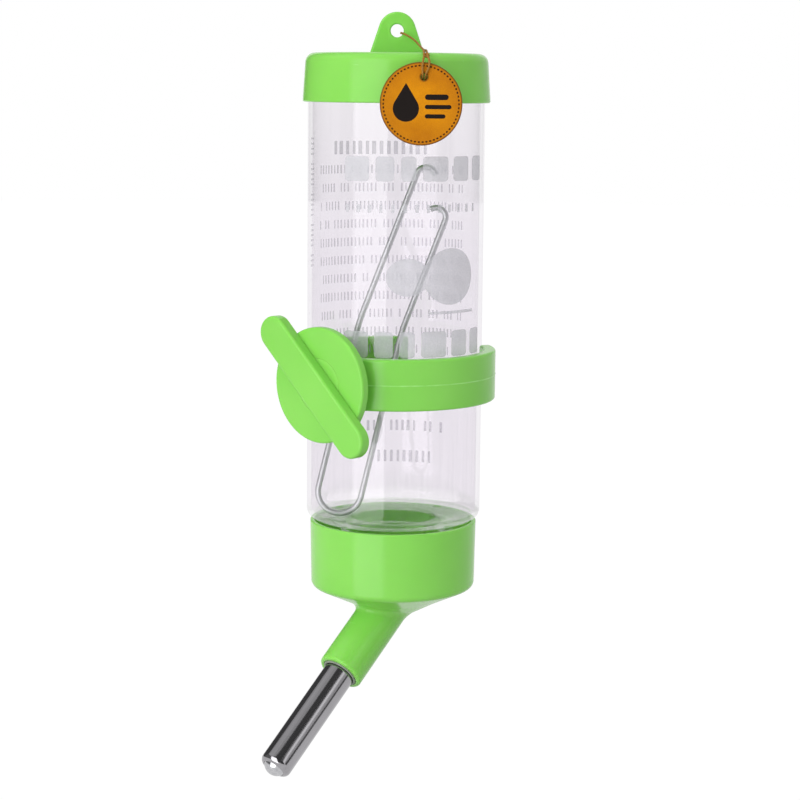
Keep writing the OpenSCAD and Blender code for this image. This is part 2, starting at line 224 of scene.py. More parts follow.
def inset(outline, distance):
    """A closed counter-clockwise outline moved inward by a small distance."""
    out = []
    for i, p in enumerate(outline):
        a, b, c = Vector(outline[i - 1]), Vector(p), Vector(outline[(i + 1) % len(outline)])
        u, v = (b - a).normalized(), (c - b).normalized()
        normal = Vector((-u.y - v.y, u.x + v.x))
        normal.normalize()
        stretch = max(0.5, normal.dot(Vector((-u.y, u.x))))
        out.append(tuple(b + normal * distance / stretch))
    return out


def plate(outline, thickness, front, back=None, n=5):
    """An outline in x and y made into a plate from z = 0 to its thickness, with rounded edges."""
    back = front if back is None else back
    low = [(back * (1 - math.sin(a)), back * (1 - math.cos(a))) for a in np.linspace(0, PI / 2, n + 1)]
    high = [(front * (1 - math.sin(a)), thickness - front * (1 - math.cos(a)))
            for a in np.linspace(PI / 2, 0, n + 1)]
    return loft([[(x, y, z) for x, y in inset(outline, d)] for d, z in low + high])


def sweep(path, radius, sides=16, twist=None, taper=None):
    """A tube along a path of points, with flat ends. twist(angle, distance) may change the radius."""
    path = [Vector(p) for p in path]
    count = len(path)
    along = [(path[min(i + 1, count - 1)] - path[max(i - 1, 0)]).normalized() for i in range(count)]
    side = along[0].orthogonal().normalized()
    rings, distance = [], 0
    for i, p in enumerate(path):
        side = (side - along[i] * side.dot(along[i])).normalized()
        up = along[i].cross(side)
        distance += (p - path[max(i - 1, 0)]).length
        ring = []
        for k in range(sides):
            a = 2 * PI * k / sides
            r = radius * (twist(a, distance) if twist else 1) * (taper(i / (count - 1)) if taper else 1)
            ring.append(p + r * (math.cos(a) * side + math.sin(a) * up))
        rings.append(ring)
    return loft(rings)


def moved(shell, matrix):
    return [tuple(matrix @ Vector(p)) for p in shell[0]], shell[1]


def piece(name, shells, matrix=Matrix.Identity(4)):
    """One mesh object from one or more closed shells."""
    points, faces = [], []
    for shell_points, shell_faces in shells:
        start = len(points)
        points += [tuple((matrix @ Vector(p)) * MM) for p in shell_points]
        faces += [tuple(start + i for i in face) for face in shell_faces]
    data = bpy.data.meshes.new(name)
    data.from_pydata(points, [], faces)
    work = bmesh.new()
    work.from_mesh(data)
    bmesh.ops.recalc_face_normals(work, faces=work.faces)
    work.to_mesh(data)
    work.free()
    obj = bpy.data.objects.new(name, data)
    bpy.context.scene.collection.objects.link(obj)
    return obj


def combine(obj, operation, shell, matrix=Matrix.Identity(4)):
    """Adds a closed shell to obj, or cuts it away."""
    tool = piece("tool", [shell], matrix)
    change = obj.modifiers.new("change", "BOOLEAN")
    change.operation = operation
    change.solver = "EXACT"
    change.object = tool
    bpy.context.view_layer.update()
    result = bpy.data.meshes.new_from_object(obj.evaluated_get(bpy.context.evaluated_depsgraph_get()))
    obj.modifiers.clear()
    old, obj.data = obj.data, result
    result.name = obj.name
    bpy.data.meshes.remove(old)
    bpy.data.objects.remove(tool)
    return obj


crease = math.radians(48)


def settle(obj, material, body, nodes=()):
    """Smooth shading, material, body and the CAD nodes that obj stands for."""
    obj.data.materials.clear()
    obj.data.materials.append(material)
    obj.data.polygons.foreach_set("use_smooth", [True] * len(obj.data.polygons))
    obj.data.set_sharp_from_angle(angle=crease)
    normals = obj.modifiers.new("normals", "WEIGHTED_NORMAL")
    normals.weight = 60
    normals.keep_sharp = True
    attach(obj, body)
    if nodes:
        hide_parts(*nodes)
    return obj


def ridge(angle, z, start, z0, lead, turns, half, tip):
    """How much of a thread's height stands at an angle and a height: 0 beside it, 1 on its crest."""
    best, run_out = 0, PI / 6
    whole = 2 * PI * turns
    for k in range(-1, int(turns) + 2):
        a = (angle - start) % (2 * PI) + 2 * PI * k
        if 0 <= a <= whole:
            side = min(1, max(0, (half - abs(z - z0 - lead * a / (2 * PI))) / (half - tip)))
            best = max(best, side * min(1, a / run_out, (whole - a) / run_out))
    return best


def rows(r, z0, z1, step):
    """Points up or down a straight wall, close enough together to carry a thread."""
    n = max(1, round(abs(z1 - z0) / step))
    return [(r, z0 + (z1 - z0) * i / n) for i in range(n + 1)]


# ---- Materials ----


class Nodes:
    """A material's node tree, with short calls for the nodes that the materials here share."""

    def __init__(self, name):
        self.material = bpy.data.materials.new(name)
        self.material.use_nodes = True
        self.tree = self.material.node_tree
        self.shader = self.tree.nodes["Principled BSDF"]
        self.place = self.tree.nodes.new("ShaderNodeTexCoord").outputs["Object"]

    def add(self, kind, **values):
        node = self.tree.nodes.new("ShaderNode" + kind)
        for key, value in values.items():
            if key in node.inputs:
                self.put(node.inputs[key], value)
            else:
                setattr(node, key, value)
        return node

    def put(self, socket, value):
        if isinstance(value, bpy.types.NodeSocket):
            self.tree.links.new(value, socket)
        else:
            socket.default_value = value

    def map(self, matrix=Matrix.Identity(4), scale=(1, 1, 1)):
        """Coordinates in a piece's own frame, stretched by scale. Matrix is that frame, in metres."""
        inverse = matrix.inverted()
        node = self.add("Mapping", vector_type="POINT")
        self.put(node.inputs["Vector"], self.place)
        node.inputs["Location"].default_value = inverse.to_translation()
        node.inputs["Rotation"].default_value = inverse.to_euler()
        if scale == (1, 1, 1):
            return node.outputs["Vector"]
        stretch = self.add("Mapping", vector_type="POINT")
        self.put(stretch.inputs["Vector"], node.outputs["Vector"])
        stretch.inputs["Scale"].default_value = scale
        return stretch.outputs["Vector"]

    def noise(self, scale, detail=3.0, roughness=0.5, place=None):
        node = self.add("TexNoise")
        self.put(node.inputs["Vector"], place or self.place)
        self.put(node.inputs["Scale"], scale)
        self.put(node.inputs["Detail"], detail)
        self.put(node.inputs["Roughness"], roughness)
        return node.outputs["Fac"]

    def spread(self, value, low, high, to_low=0.0, to_high=1.0):
        node = self.add("MapRange")
        for key, v in (("Value", value), ("From Min", low), ("From Max", high),
                       ("To Min", to_low), ("To Max", to_high)):
            self.put(node.inputs[key], v)
        return node.outputs["Result"]

    def blend(self, share, a, b):
        node = self.add("Mix", data_type="RGBA")
        self.put(node.inputs[0], share)
        self.put(node.inputs[6], a)
        self.put(node.inputs[7], b)
        return node.outputs[2]

    def sum(self, *values):
        total = values[0]
        for value in values[1:]:
            node = self.add("Math", operation="ADD")
            self.put(node.inputs[0], total)
            self.put(node.inputs[1], value)
            total = node.outputs[0]
        return total

    def times(self, a, b):
        node = self.add("Math", operation="MULTIPLY")
        self.put(node.inputs[0], a)
        self.put(node.inputs[1], b)
        return node.outputs[0]

    def bump(self, height, distance, strength=1.0):
        node = self.add("Bump")
        self.put(node.inputs["Height"], height)
        node.inputs["Distance"].default_value = distance
        node.inputs["Strength"].default_value = strength
        self.put(self.shader.inputs["Normal"], node.outputs["Normal"])

    def set(self, **values):
        for key, value in values.items():
            self.put(self.shader.inputs[key.replace("_", " ")], value)
        return self.material

    def edges(self):
        """1 on sharp outer edges, 0 elsewhere."""
        return self.spread(self.add("NewGeometry").outputs["Pointiness"], 0.52, 0.6)

    def height(self):
        """The height in the frame, in metres."""
        node = self.add("SeparateXYZ")
        self.put(node.inputs[0], self.place)
        return node.outputs["Z"]


def green_plastic(name, seam=None):
    """Glossy green moulding. A seam is the height of a pale parting line, in metres."""
    n = Nodes(name)
    broad = n.noise(45, 2)
    grain = n.noise(2600, 2)
    flow = n.noise(160, 3, place=n.map(scale=(1, 1, 0.25)))
    scuffs = n.spread(n.noise(900, 4, 0.7, place=n.map(scale=(0.12, 1, 1))), 0.66, 0.74)
    colour = n.blend(n.spread(broad, 0.3, 0.7), (0.215, 0.60, 0.085, 1), (0.245, 0.645, 0.102, 1))
    # Painted highlight: sharp outer edges are coloured a lighter green, as light lines along the rims.
    colour = n.blend(n.times(n.edges(), 0.35), colour, (0.37, 0.82, 0.19, 1))
    colour = n.blend(n.times(scuffs, 0.06), colour, (0.5, 0.85, 0.35, 1))
    if seam is not None:
        off = n.add("Math", operation="ABSOLUTE")
        n.put(off.inputs[0], n.sum(n.height(), -seam))
        worn = n.spread(n.noise(300, 3), 0.3, 0.6, 0.15, 0.6)
        line = n.times(n.spread(off.outputs[0], 0.0002, 0.0001), worn)
        colour = n.blend(line, colour, (0.42, 0.85, 0.28, 1))
    rough = n.sum(n.spread(flow, 0.3, 0.7, 0.14, 0.2), n.times(scuffs, 0.12))
    n.bump(n.sum(n.times(grain, 0.25), n.times(flow, 0.7)), 0.00004, 0.28)
    return n.set(**{"Base Color": colour, "Roughness": rough, "IOR": 1.49, "Specular IOR Level": 0.3,
                    "Subsurface Weight": 0.3, "Subsurface Radius": (0.5, 1.0, 0.25),
                    "Subsurface Scale": 0.0016})


def clear_plastic():
    """A thin clear wall that doesn't bend what is behind it, and in part a glass below the shoulder."""
    n = Nodes("clear_plastic")
    ripple = n.noise(70, 2, place=n.map(scale=(1, 1, 0.3)))
    lines = n.noise(900, 2, place=n.map(scale=(1, 1, 0.04)))
    scuffs = n.spread(n.noise(1400, 4, 0.7), 0.66, 0.74)
    relief = n.sum(ripple, n.times(lines, 0.06))
    n.bump(relief, 0.00018, 0.3)
    rough = n.sum(n.spread(ripple, 0.3, 0.7, 0.03, 0.07), n.times(scuffs, 0.08))
    height = n.height()
    tint = n.blend(n.spread(lines, 0.35, 0.65), (0.957, 0.944, 0.962, 1), (0.941, 0.928, 0.947, 1))
    low = (shoulder_z + 1.0) * MM
    # Painted light: the clear tint is lighter towards the top and below the shoulder, where the wall looks
    # brighter.
    ends = n.sum(n.spread(height, 0.03, 0.07, 0.0, 0.6), n.spread(height, low + 0.003, low))
    tint = n.blend(ends, tint, (0.99, 0.985, 0.99, 1))
    n.set(**{"Base Color": n.blend(0.5, tint, (1, 1, 1, 1)), "Roughness": rough, "IOR": 1.3,
             "Transmission Weight": 1.0})
    normal = n.shader.inputs["Normal"].links[0].from_socket
    facing = n.add("LayerWeight", Blend=0.5)
    n.put(facing.inputs["Normal"], normal)
    edge = n.add("Math", operation="POWER")
    n.put(edge.inputs[0], facing.outputs["Facing"])
    edge.inputs[1].default_value = 4.0
    mirror = n.add("BsdfGlossy", Color=(1, 1, 1, 1), Roughness=rough)
    n.put(mirror.inputs["Normal"], normal)
    window = n.add("BsdfTransparent", Color=tint)
    wall = n.add("MixShader")
    n.put(wall.inputs[0], n.spread(edge.outputs[0], 0.0, 1.0, 0.025, 0.32))
    n.put(wall.inputs[1], window.outputs[0])
    n.put(wall.inputs[2], mirror.outputs[0])
    both = n.add("MixShader")
    n.put(both.inputs[0], n.spread(height, low + 0.003, low, 0.0, 0.25))
    n.put(both.inputs[1], wall.outputs[0])
    n.put(both.inputs[2], n.shader.outputs[0])
    n.put(n.tree.nodes["Material Output"].inputs["Surface"], both.outputs[0])
    return n.material


def drawn_steel(name, matrix, colour, stretch=(1, 1, 0.012), rough=(0.2, 0.34)):
    n = Nodes(name)
    metres = matrix.copy()
    metres.translation *= MM
    own = n.map(metres, stretch)
    lines = n.noise(2600, 3, 0.6, place=own)
    patches = n.noise(260, 3)
    shade = n.blend(n.spread(lines, 0.3, 0.7), tuple(0.86 * c for c in colour) + (1,), colour + (1,))
    dull = tuple(0.6 * c for c in colour) + (1,)
    shade = n.blend(n.times(n.spread(patches, 0.45, 0.75), 0.18), shade, dull)
    n.bump(lines, 0.00001, 0.3)
    return n.set(**{"Base Color": shade, "Metallic": 1.0, "Roughness": n.spread(lines, 0.3, 0.7, *rough)})


def bright_ball():
    n = Nodes("bright_ball")
    marks = n.noise(1800, 4, 0.6)
    n.bump(marks, 0.00001, 0.3)
    shade = n.blend(n.spread(marks, 0.3, 0.7), (0.5, 0.5, 0.52, 1), (0.66, 0.66, 0.68, 1))
    return n.set(**{"Base Color": shade, "Metallic": 1.0, "Roughness": n.spread(marks, 0.3, 0.7, 0.1, 0.2)})


def painted_shade_seal():
    n = Nodes("painted_shade_seal")
    grain = n.noise(1700, 3)
    n.bump(grain, 0.00003, 0.5)
    # Painted shade: the seal is coloured a dark grey-green, much darker than its own pale colour, so that it
    # reads as shadow in the spout's mouth.
    shade = n.blend(n.spread(grain, 0.3, 0.7), (0.20, 0.24, 0.18, 1), (0.27, 0.31, 0.24, 1))
    return n.set(**{"Base Color": shade, "Roughness": n.spread(grain, 0.3, 0.7, 0.45, 0.6)})


def tag_leather():
    n = Nodes("tag_leather")
    own = n.map(Matrix.Translation(on_tab @ tag_at * MM) @ Matrix.Rotation(tab_turn, 4, "Z"))
    radius = n.add("VectorMath", operation="LENGTH")
    n.put(radius.inputs[0], own)
    radius = radius.outputs["Value"]
    cells = n.add("TexVoronoi", feature="DISTANCE_TO_EDGE")
    n.put(cells.inputs["Vector"], n.place)
    n.put(cells.inputs["Scale"], 2400)
    creases = n.spread(cells.outputs["Distance"], 0.0, 0.25)
    broad = n.noise(120, 4, 0.6)
    colour = n.blend(n.spread(broad, 0.35, 0.68), (0.51, 0.175, 0.001, 1), (0.68, 0.26, 0.002, 1))
    colour = n.blend(n.times(n.spread(radius, 0.0045, 0.0098), 0.4), colour, (0.40, 0.125, 0.004, 1))
    eye = n.add("VectorMath", operation="DISTANCE")
    n.put(eye.inputs[0], own)
    eye.inputs[1].default_value = (tag_hole - tag_at) * MM
    # Darker ring round the string's hole.
    dark_eye_ring = n.spread(eye.outputs["Value"], 0.0014, 0.0009)
    colour = n.blend(dark_eye_ring, colour, (0.05, 0.015, 0.004, 1))
    colour = n.blend(n.spread(radius, 0.00935, 0.0097), colour, (0.16, 0.055, 0.010, 1))
    colour = n.blend(n.times(n.spread(creases, 0.4, 0.0), 0.25), colour, (0.33, 0.11, 0.008, 1))
    n.bump(n.sum(creases, n.times(n.noise(5000, 2), 0.5)), 0.00004, 0.5)
    return n.set(**{"Base Color": colour, "Roughness": n.spread(broad, 0.3, 0.7, 0.42, 0.58),
                    "Specular IOR Level": 0.08})


def flat_ink(name, colour, low=0.45, high=0.6, alpha=1.0, gloss=0.2):
    n = Nodes(name)
    grain = n.noise(3000, 3)
    shade = n.blend(n.spread(grain, 0.3, 0.7), tuple(0.82 * c for c in colour) + (1,), colour + (1,))
    n.bump(grain, 0.00001, 0.4)
    return n.set(**{"Base Color": shade, "Roughness": n.spread(grain, 0.3, 0.7, low, high),
                    "Alpha": alpha, "Specular IOR Level": gloss})


def waxed_thread():
    n = Nodes("waxed_thread")
    fibres = n.noise(4200, 3, 0.6)
    shade = n.blend(n.spread(fibres, 0.3, 0.7), (0.18, 0.075, 0.010, 1), (0.46, 0.235, 0.045, 1))
    n.bump(fibres, 0.00003, 0.6)
    return n.set(**{"Base Color": shade, "Roughness": n.spread(fibres, 0.3, 0.7, 0.5, 0.7),
                    "Specular IOR Level": 0.2})


green = green_plastic("green_plastic")
ring_green = green_plastic("ring_green", (ring_low.z + ring_high.z) / 2 * MM)
clear = clear_plastic()
tube_steel = drawn_steel("tube_steel", on_spout, (0.44, 0.43, 0.45), rough=(0.09, 0.17))
wire_steel = drawn_steel("wire_steel", on_tab, (0.80, 0.82, 0.82), (1, 1, 0.1), (0.48, 0.62))
ball_steel = bright_ball()
seal = painted_shade_seal()
leather = tag_leather()
thread = waxed_thread()
stitch_thread = flat_ink("stitch_thread", (0.050, 0.014, 0.003), 0.6, 0.75, gloss=0.1)
motif_ink = flat_ink("motif_ink", (0.012, 0.008, 0.007), 0.5, 0.65, gloss=0.1)
front_ink = flat_ink("front_ink", (0.66, 0.66, 0.70), alpha=0.4)
rear_ink = flat_ink("rear_ink", (0.62, 0.62, 0.71), alpha=0.26)

# ---- The tag's string, with its knot ----
# The route of the string in the tab's frame, the same as in the CAD.
string_route = [
    (0.95, -0.1, 84.9), (1.05, -1.1, 84.95), (1.9, -2.6, 84.6), (4.0, -9.0, 83.2), (5.7, -17.0, 81.3),
    (6.3, -20.6, 80.5), (6.4, -23.5, 79.6), (6.35, -24.6, 79.0), (6.2, -25.2, 78.2), (6.05, -25.4, 77.3),
    (6.05, -25.4, 75.5), (6.1, -25.05, 74.85), (6.1, -24.3, 74.2), (6.05, -23.6, 73.55), (5.7, -23.25, 72.9),
    (5.35, -23.2, 72.3), (5.3, -23.2, 71.6), (5.85, -23.2, 70.9), (7.05, -23.2, 70.9), (7.6, -23.2, 71.6),
    (7.55, -23.2, 72.3), (7.2, -23.25, 72.9), (6.85, -23.6, 73.55), (6.8, -24.3, 74.2), (6.85, -25.05, 74.85),
    (7.1, -25.4, 75.5), (7.6, -25.4, 76.8), (7.6, -25.2, 78.2), (7.3, -24.6, 79.0), (7.15, -23.6, 79.6),
    (7.1, -22.4, 80.0), (7.0, -20.6, 80.4), (6.9, -11.0, 80.6), (7.1, -1.4, 80.6), (7.0, 0.9, 80.7),
    (6.3, 1.9, 81.2), (2.8, 2.1, 84.0), (1.6, 1.8, 84.7), (1.05, 1.1, 84.95), (0.95, 0.1, 84.9)]


def smooth_path(points, steps):
    """A centripetal curve through the points."""
    pts = [Vector(p) for p in points]
    pts = [2 * pts[0] - pts[1]] + pts + [2 * pts[-1] - pts[-2]]
    out = []
    for i in range(1, len(pts) - 2):
        p0, p1, p2, p3 = pts[i - 1:i + 3]
        t1 = (p1 - p0).length ** 0.5
        t2 = t1 + (p2 - p1).length ** 0.5
        t3 = t2 + (p3 - p2).length ** 0.5
        for k in range(steps):
            t = t1 + (t2 - t1) * k / steps
            a1 = p0.lerp(p1, t / t1)
            a2 = p1.lerp(p2, (t - t1) / (t2 - t1))
            a3 = p2.lerp(p3, (t - t2) / (t3 - t2))
            b1 = a1.lerp(a2, t / t2)
            b2 = a2.lerp(a3, (t - t1) / (t3 - t1))
            out.append(b1.lerp(b2, (t - t1) / (t2 - t1)))
    return out + [pts[-2]]


def two_ply(angle, distance):
    """The waist between a thread's two plies, which winds along it."""
    return 0.9 + 0.1 * abs(math.cos(angle + 2.6 * distance))


string_path = [on_tab @ p for p in smooth_path(string_route, 8)]
string = piece("tag_string", [sweep(string_path, string_r * 1.03, 14, two_ply)])

knot_at = on_tab @ Vector((6.85, -23.95, 79.3))
knot_turn = on_tab.to_3x3().to_4x4() @ Matrix.Rotation(math.radians(62), 4, "X")
knot_path = []
for i in range(73):
    a = 2 * PI * i / 72
    knot_path.append(Vector(((0.5 + 0.14 * math.cos(3 * a)) * math.cos(2 * a),
                             (0.34 + 0.1 * math.cos(3 * a)) * math.sin(2 * a), 0.26 * math.sin(3 * a))))
knot = piece("string_knot", [sweep(knot_path, string_r * 0.95, 12, two_ply)],
             Matrix.Translation(knot_at) @ knot_turn)

settle(string, thread, "top", ["tag_cord"])
settle(knot, thread, "top")

# ---- The bottle ----


def neck_wave(r, z, angle):
    """Adds the neck's bead and thread to its plain wall."""
    if abs(r - neck_r) > 1e-6:
        return r
    bead = (bead_r - neck_r) * min(1, max(0, (bead_half - abs(z - bead_z)) / 0.22 + 0.1))
    thread_height = (thread_r - neck_r) * ridge(angle, z, thread_start, thread_z, thread_lead,
                                                thread_turns, thread_half, thread_tip)
    return r + max(bead if abs(z - bead_z) < bead_half + 0.02 else 0, thread_height)


def make_bottle():
    outline = rounded([(bottle_in, bottle_top, 0.3), (bottle_in, shoulder_z + bottle_wall + 0.2, 1.5),
                       (neck_in, shoulder_z + bottle_wall - 1.1, 0.7), (neck_in, neck_lip, 0.35),
                       (neck_r, neck_lip, 0.35)], 6)
    outline += rows(neck_r, neck_lip + 0.5, shoulder_z - 1.6, 0.22)
    outline += rounded([(neck_r, neck_lip, 0), (neck_r, shoulder_z - 1.05, 0.5),
                        (bottle_r, shoulder_z + 0.15, 2.4), (bottle_r, bottle_top, 0.3)], 8)[1:]
    bottle = piece("clear_bottle", [lathe(outline, 160, neck_wave)], on_axis)
    foot = plate(rounded(box_corners(foot_w / 2, foot_d / 2, 0.35), 4), foot_h, 0.25)
    for quarter in range(4):
        turn = Matrix.Rotation(quarter * PI / 2, 4, "Z")
        spot = Matrix.Translation((0, -foot_reach, shoulder_z - foot_h - 0.05))
        combine(bottle, "UNION", foot, on_axis @ turn @ spot)
    return settle(bottle, clear, "bottle", ["bottle_body"])


make_bottle()

# ---- Top cap with its tab ----


def make_top_cap():
    ceiling, plug_out, plug_in, plug_low = cap_top - 1.6, bottle_in - 0.1, bottle_in - 1.4, cap_top - 7.6
    shell = rounded([(0, cap_top), (0, ceiling), (plug_in, ceiling, 0.5), (plug_in, plug_low, 0.3),
                     (plug_out, plug_low, 0.6), (plug_out, ceiling), (bottle_r + 0.1, ceiling),
                     (bottle_r + 0.1, cap_rim, 0.25), (cap_r, cap_rim, 0.4), (cap_r - 0.8, cap_top, 2.4)], 7)
    shell += [(r, cap_top) for r in np.arange(19, 1, -1.5)]
    cap = piece("cap_moulding", [lathe(shell, 160)], on_axis)
    reach = math.hypot(tab_foot, eye_z - cap_top)
    slant = math.acos(tab_r / reach) - math.atan2(eye_z - cap_top, tab_foot)
    outline = [(-tab_foot, cap_top - 0.6), (tab_foot, cap_top - 0.6), (tab_foot, cap_top)]
    outline += arc(0, eye_z, tab_r, slant, PI - slant, 30) + [(-tab_foot, cap_top)]
    upright = on_tab @ Matrix.Translation((0, tab_t / 2, 0)) @ Matrix.Rotation(PI / 2, 4, "X")
    combine(cap, "UNION", plate(outline, tab_t, 0.5), upright)
    bore = lathe(rounded([(0, -0.5), (eye_r + 0.9, -0.5), (eye_r, 0.35, 0.5), (eye_r, tab_t - 0.35, 0.5),
                          (eye_r + 0.9, tab_t + 0.5), (0, tab_t + 0.5)], 4), 48)
    combine(cap, "DIFFERENCE", bore, upright @ Matrix.Translation((0, eye_z, 0)))
    return settle(cap, green, "top", ["top_cap"])


make_top_cap()

# ---- The wire stored in the bottle ----


def make_wire():
    seat = on_tab @ Matrix.Translation((-13.5, -4.3, shoulder_z + 6.9)) @ (
        Matrix.Rotation(math.radians(13.5), 4, "Y") @ Matrix.Rotation(math.radians(-7.3), 4, "X"))
    lean = Matrix.Rotation(wire_kink, 4, "Y")

    def leg(side, length):
        """From the bend up to the tip of the hook."""
        kink = Vector((side * wire_bend, 0, wire_low))
        points = [Vector((side * wire_bend, 0, z)) for z in np.linspace(1.5, wire_low - 2, 10)]
        points += [kink + lean @ Vector((0, 0, z)) for z in np.linspace(2, length - 1, 10)]
        for a in np.linspace(0, hook_sweep, 14):
            turn = Vector((side * hook_r * (math.cos(a) - 1), 0, length + hook_r * math.sin(a)))
            points.append(kink + lean @ turn)
        return points

    low = [Vector((-wire_bend * math.cos(a), 0, -wire_bend * math.sin(a))) for a in np.linspace(0, PI, 24)]
    path = smooth_path(leg(-1, leg_long)[::-1] + low + leg(1, leg_short), 3)
    tube = sweep(path, wire_r, 16, taper=lambda s: 1 if 0.001 < s < 0.999 else 0.8)
    wire = piece("stored_wire", [tube], seat)
    return settle(wire, wire_steel, "bottle", ["hanger_wire"])


make_wire()

# ---- Clip ring, disc and wing bar ----


def make_clip():
    half_h = (ring_high.z - ring_low.z) / 2
    mid_z = (ring_high.z + ring_low.z) / 2
    seam_half, seam_rise = 0.22, 0.1
    section = rounded(box_corners(ring_half_t, half_h, 0.6), 6)
    outer = [i for i, p in enumerate(section) if p[0] > ring_half_t - 1e-6]
    at = outer[len(outer) // 2]
    section[at:at] = [(ring_half_t, -seam_half), (ring_half_t + seam_rise, 0), (ring_half_t, seam_half)]
    tips = [(ring_half_t * math.sin(b), math.cos(b)) for b in np.linspace(0, PI / 2 - 0.12, 7)]
    stops = [(ring_gap - s / ring_mid, k) for s, k in reversed(tips)]
    stops += [(a, 1) for a in np.linspace(ring_gap, 2 * PI - ring_gap, 120)[1:-1]]
    stops += [(2 * PI - ring_gap + s / ring_mid, k) for s, k in tips]
    rings = []
    for a, k in stops:
        tall = 1 - 0.08 * (1 - k)
        rings.append([(-(ring_mid + r * k) * math.sin(a), axis_y + (ring_mid + r * k) * math.cos(a),
                       mid_z + z * tall) for r, z in section])
    clip = piece("clip_moulding", [loft(rings)])
    pad = rounded([(-pad_w / 2, ring_low.z + 0.5, 0.8), (pad_w / 2, ring_low.z + 0.5, 0.8),
                   (pad_w / 2, ring_high.z - 0.5, 0.8), (-pad_w / 2, ring_high.z - 0.5, 0.8)], 5)
    upright = Matrix.Rotation(PI / 2, 4, "X")
    combine(clip, "UNION", plate(pad, pad_t, 0.3), Matrix.Translation((0, pad_t, 0)) @ upright)
    profile = [(0, -1.5), (stud_core, -1.5)] + rows(stud_core, 0.1, stud_l - 0.45, 0.15)
    profile += [(stud_core - 0.35, stud_l), (0, stud_l)]

    def wave(r, z, angle):
        on = abs(r - stud_core) < 1e-6 and z > 0.05
        height = ridge(angle, z, 0, stud_z, stud_lead, stud_turns, stud_half, stud_tip)
        return r + (stud_r - stud_core) * height if on else r

    combine(clip, "UNION", lathe(profile, 96, wave), on_stud)
    return settle(clip, ring_green, "holder", ["ring_clip"])


def make_disc():
    back, front = -disc_high.y, -disc_low.y
    seat_r = hub_face_r + 0.04
    profile = rounded([(disc_hole, back, 0.15), (disc_r, back, 0.45), (disc_r, front, 0.6),
                       (seat_r, front, 0.03), (seat_r, front - hub_step), (disc_hole, front - hub_step)], 6)
    disc = piece("disc_moulding", [lathe(profile, 144)], on_stud)
    return settle(disc, green, "disc", ["clamp_disc"])


def make_wing():
    end = wing_l / 2 - wing_w / 2
    outline = arc(0, end, wing_w / 2, 0, PI, 24) + arc(0, -end, wing_w / 2, PI, 2 * PI, 24)
    lean = on_stud @ Matrix.Rotation(wing_lean, 4, "Z")
    back, room_r, room_end = wing_front - wing_t, hub_bore + 0.06, hub_depth + 0.2
    blade = plate(outline, wing_t, 0.75, 0.35, 6)
    wing = piece("wing_moulding", [blade], lean @ Matrix.Translation((0, 0, back)))
    room = lathe([(0, back - 1), (room_r, back - 1), (room_r, room_end), (0, room_end)], 96)
    combine(wing, "DIFFERENCE", room, on_stud)
    profile = [(0, hub_depth), (hub_bore, hub_depth)] + rows(hub_bore, hub_depth - 0.1, hub_end + 0.1, 0.15)
    core = wing_w / 2 - 0.08
    profile += [(hub_bore + 0.1, hub_end), (hub_r, hub_end), (hub_r, hub_face - hub_step),
                (hub_face_r, hub_face - hub_step), (hub_face_r, hub_face - 0.02), (core, hub_face - 0.02),
                (core, hub_depth + 0.4), (0, hub_depth + 0.4)]
    start = math.radians(280)
    first, depth = stud_z + stud_lead * (start / (2 * PI) - 0.5), 0.8

    def wave(r, z, angle):
        on = abs(r - hub_bore) < 1e-6
        return r - depth * ridge(angle, z, start, first, stud_lead, 1, stud_half, stud_tip) if on else r

    combine(wing, "UNION", lathe(profile, 96, wave), on_stud)
    return settle(wing, green, "wing", ["wing_bar"])


make_clip()
make_disc()
make_wing()

# ---- Screw cap with its spout neck ----
cone_slope, boss_slope = math.radians(24.5), math.radians(27.5)
boss_r, boss_tip = 12.2, 3.4
root_round = 2.0


def cup_outside():
    """The cup's outer outline from the rim down to the bottom of the cone, as (radius, height, rounding)."""
    low_r, turn_r = cup_r - 0.3, 1.7
    middle = (low_r - turn_r, cup_rim - 15.8)
    start = (middle[0] + turn_r * math.sin(cone_slope), middle[1] - turn_r * math.cos(cone_slope))
    corner_z = start[1] + (low_r - start[0]) * math.tan(cone_slope)
    boss_z = start[1] - (start[0] - boss_r) * math.tan(cone_slope)
    tip_z = boss_z - (boss_r - boss_tip) * math.tan(boss_slope)
    return [(cup_r, cup_rim, 0.35), (low_r, corner_z, turn_r), (boss_r, boss_z, 4), (boss_tip, tip_z, 3),
            (0, tip_z - 0.9)]


